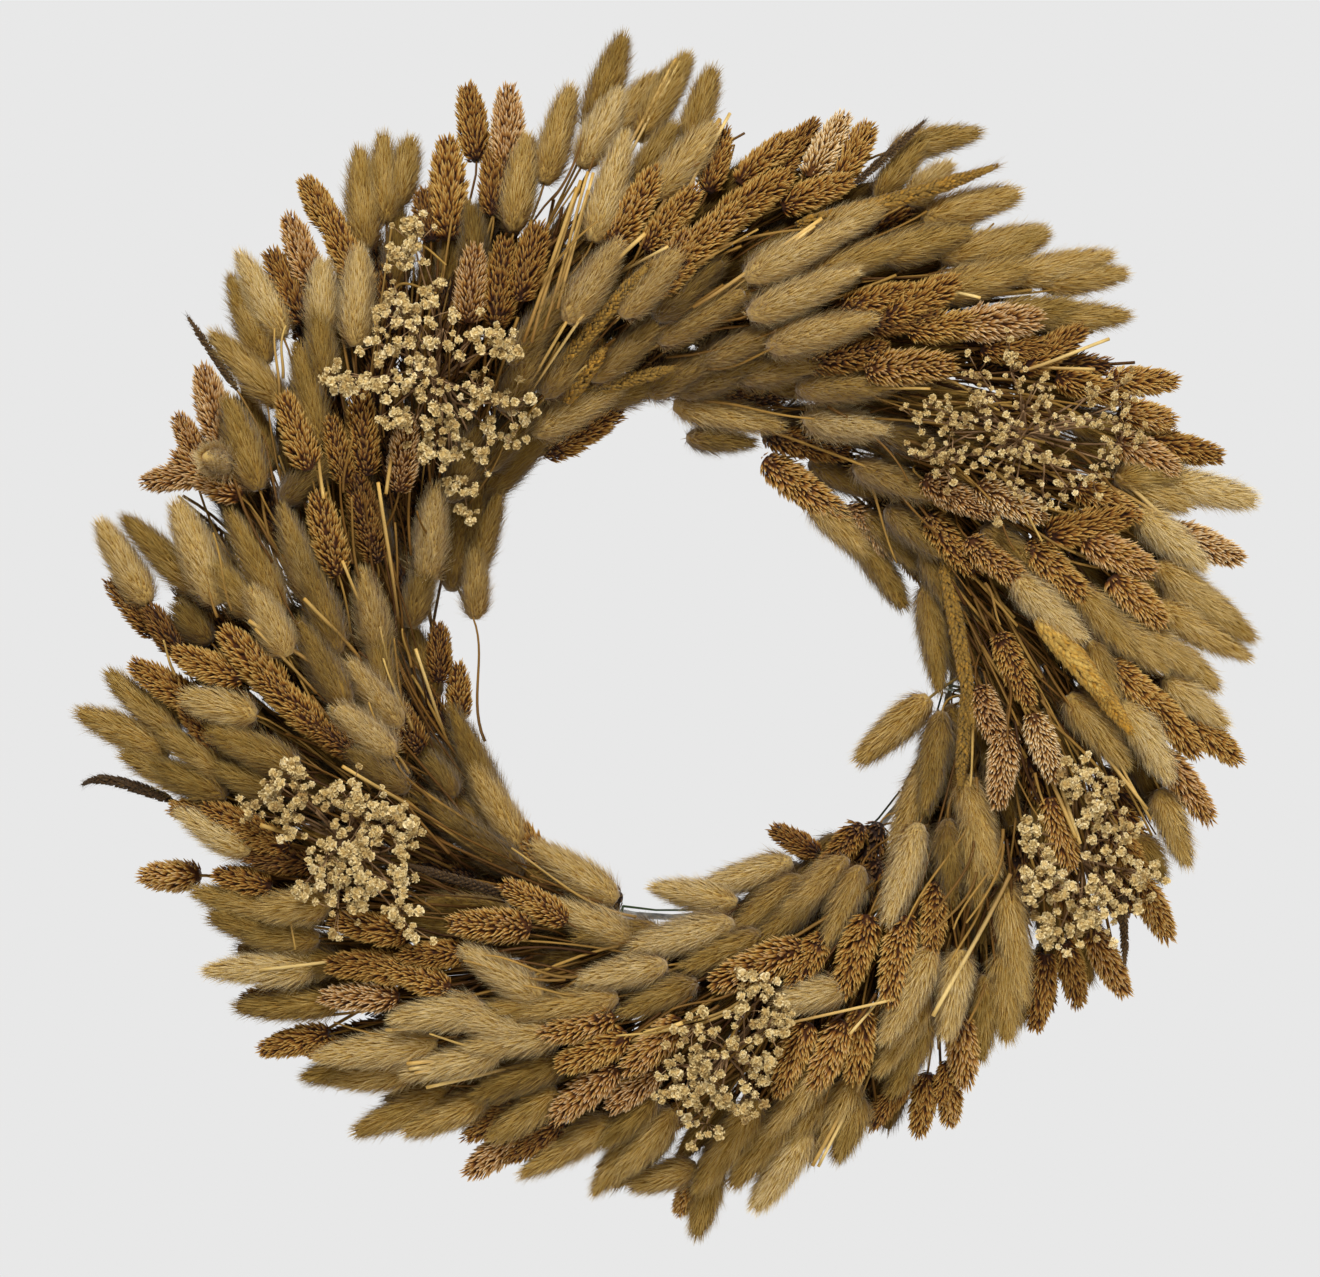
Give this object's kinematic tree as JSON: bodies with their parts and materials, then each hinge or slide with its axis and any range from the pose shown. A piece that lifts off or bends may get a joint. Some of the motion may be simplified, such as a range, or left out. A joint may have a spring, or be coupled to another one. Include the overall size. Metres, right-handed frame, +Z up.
{
  "type": "dried grass door wreath",
  "caption": "Round door wreath of dried grass heads and small cream flowers wired on to a steel ring frame, with a folding wire loop to hang it.",
  "frame": {"origin": "the point inside the top of the hanging loop that bears on a door nail; the ring's centre is 194.5 mm below it", "axes": "+X to the right seen from the front, +Y back towards the door, +Z up"},
  "size_m": [0.5035, 0.1065, 0.513],
  "materials": {
    "galvanised_wire": "satin",
    "binding_wire": "satin",
    "bunny_tail_grass": "matte",
    "canary_grass": "matte",
    "dark_grass": "matte",
    "cream_flowers": "matte"
  },
  "bodies": {
    "wreath": {"frame_rail_inner": "galvanised_wire", "frame_rail_inner_middle": "galvanised_wire", "frame_rail_outer_middle": "galvanised_wire", "frame_rail_outer": "galvanised_wire", "frame_brace_1": "galvanised_wire", "frame_brace_2": "galvanised_wire", "frame_brace_3": "galvanised_wire", "frame_brace_4": "galvanised_wire", "frame_brace_5": "galvanised_wire", "frame_brace_6": "galvanised_wire", "binding_wire": "binding_wire", "grass_bunch_01": "canary_grass", "grass_bunch_02": "bunny_tail_grass", "grass_bunch_03": "bunny_tail_grass", "grass_bunch_04": "canary_grass", "grass_bunch_05": "bunny_tail_grass", "grass_bunch_06": "bunny_tail_grass", "grass_bunch_07": "canary_grass", "grass_bunch_08": "bunny_tail_grass", "grass_bunch_09": "bunny_tail_grass", "grass_bunch_10": "canary_grass", "grass_bunch_11": "bunny_tail_grass", "grass_bunch_12": "bunny_tail_grass", "grass_bunch_13": "canary_grass", "grass_bunch_14": "bunny_tail_grass", "grass_bunch_15": "bunny_tail_grass", "grass_bunch_16": "canary_grass", "flower_spray_upper_left": "cream_flowers", "flower_spray_upper_right": "cream_flowers", "flower_spray_lower_right": "cream_flowers", "flower_spray_bottom": "cream_flowers", "flower_spray_lower_left": "cream_flowers", "loose_canary_head": "canary_grass", "long_dark_spike": "dark_grass", "upper_dark_spike": "dark_grass", "loose_bunny_tail": "bunny_tail_grass"},
    "loop": {"hanging_loop": "galvanised_wire"}
  },
  "joints": [
    {"name": "loop_fold", "type": "hinge", "parent": "wreath", "child": "loop", "pos_m": [0, 0, -0.0378], "axis": [-1, 0, 0], "range_deg": [0, 170]}
  ]
}
